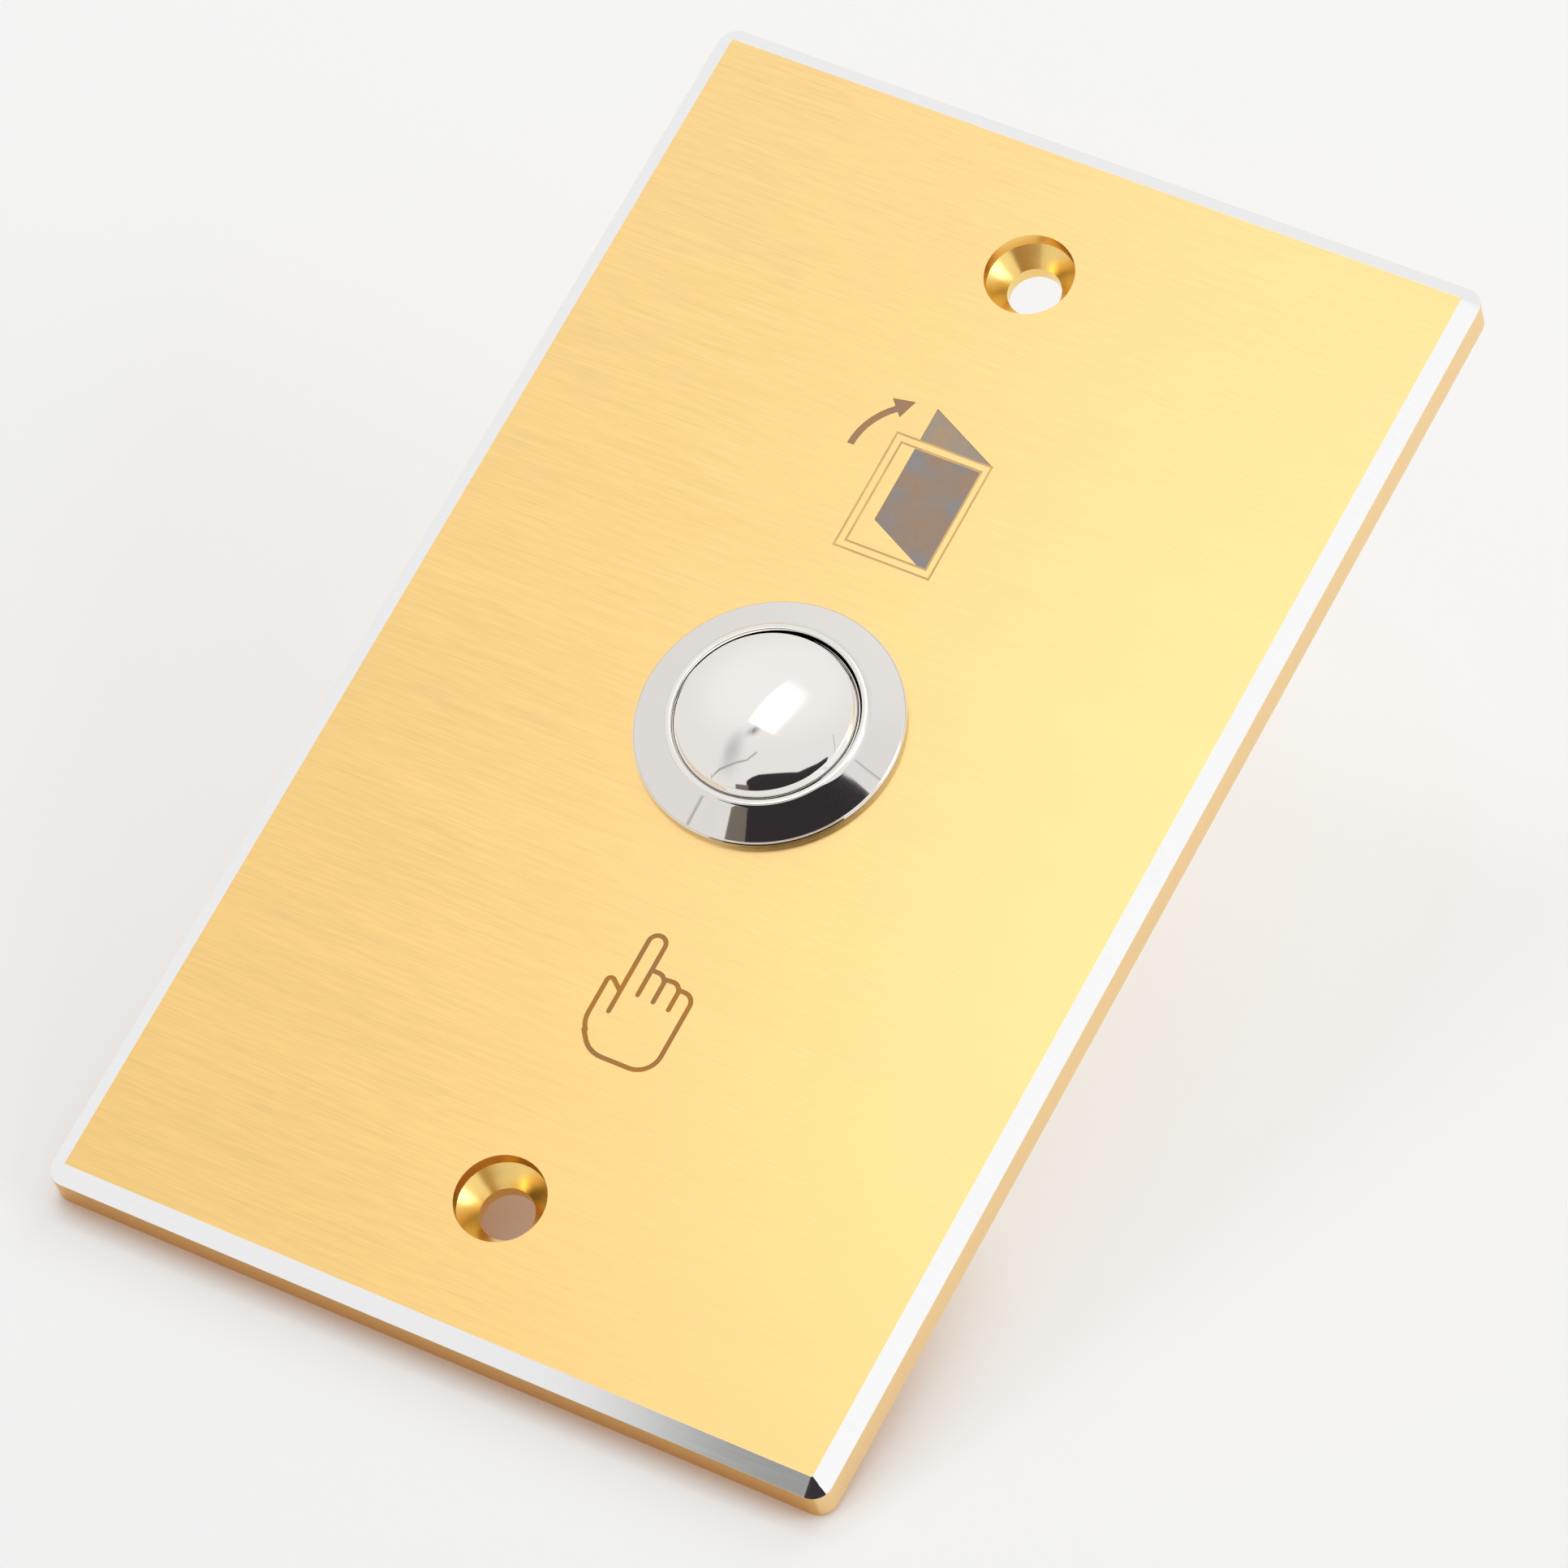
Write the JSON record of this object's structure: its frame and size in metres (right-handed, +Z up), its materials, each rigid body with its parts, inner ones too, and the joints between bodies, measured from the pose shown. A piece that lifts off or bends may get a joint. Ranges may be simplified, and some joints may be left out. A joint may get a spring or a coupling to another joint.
{
  "type": "wall plate push button",
  "caption": "Upright wall plate with bevelled edge, two countersunk holes, sunk door and pointing-hand symbols, and a domed metal push button with screw terminals behind.",
  "frame": {"origin": "centre of the plate's flat back face, which lies on the wall", "axes": "+X to the right as seen from the room, +Z up the plate towards the door symbol, +Y into the wall; the plate's face and the button look along -Y"},
  "size_m": [0.07, 0.0288, 0.115],
  "materials": {
    "gold_anodised": "brushed across the plate, gold anodised, bright machined bevel",
    "symbol_paint": "matt grey brown",
    "frame_line_paint": "matt dark gold",
    "hand_paint": "matt brown",
    "polished_nickel": "mirror polished",
    "nickel_hardware": "satin nickel plate",
    "spring_steel": "bright drawn wire",
    "seal_rubber": "matt",
    "stem_plastic": "natural nylon",
    "base_plastic": "fine moulded grain",
    "contact_brass": "bright stamped",
    "contact_silver": "bright"
  },
  "bodies": {
    "plate": {"face_plate": "gold_anodised", "symbol_arrow": "hand_paint", "symbol_frame_outer": "frame_line_paint", "symbol_frame_inner": "frame_line_paint", "symbol_leaf_top": "symbol_paint", "symbol_leaf": "symbol_paint", "symbol_hand": "hand_paint", "switch_shell": "polished_nickel", "flange_seal": "seal_rubber", "lock_washer": "nickel_hardware", "hex_nut": "nickel_hardware", "plunger_seal": "seal_rubber", "spring_seat": "spring_steel", "return_spring": "spring_steel", "terminal_base": "base_plastic", "base_circlip": "spring_steel", "fixed_contact_left": "contact_brass", "fixed_contact_right": "contact_brass", "fixed_tip_left": "contact_silver", "fixed_tip_right": "contact_silver", "clamp_washer_left": "nickel_hardware", "clamp_washer_right": "nickel_hardware", "terminal_screw_left": "nickel_hardware", "terminal_screw_right": "nickel_hardware"},
    "button": {"push_cap": "polished_nickel", "plunger": "stem_plastic", "retaining_clip": "spring_steel", "contact_spring": "spring_steel", "contact_bridge": "contact_brass", "bridge_collar": "spring_steel", "bridge_tip_left": "contact_silver", "bridge_tip_right": "contact_silver"}
  },
  "joints": [
    {"name": "button_press", "type": "slide", "parent": "plate", "child": "button", "axis": [0, 1, 0], "range_m": [0, 0.0025], "stiffness_N_per_m": 900, "springref_m": -0.0022, "deforming": ["return_spring"]}
  ]
}
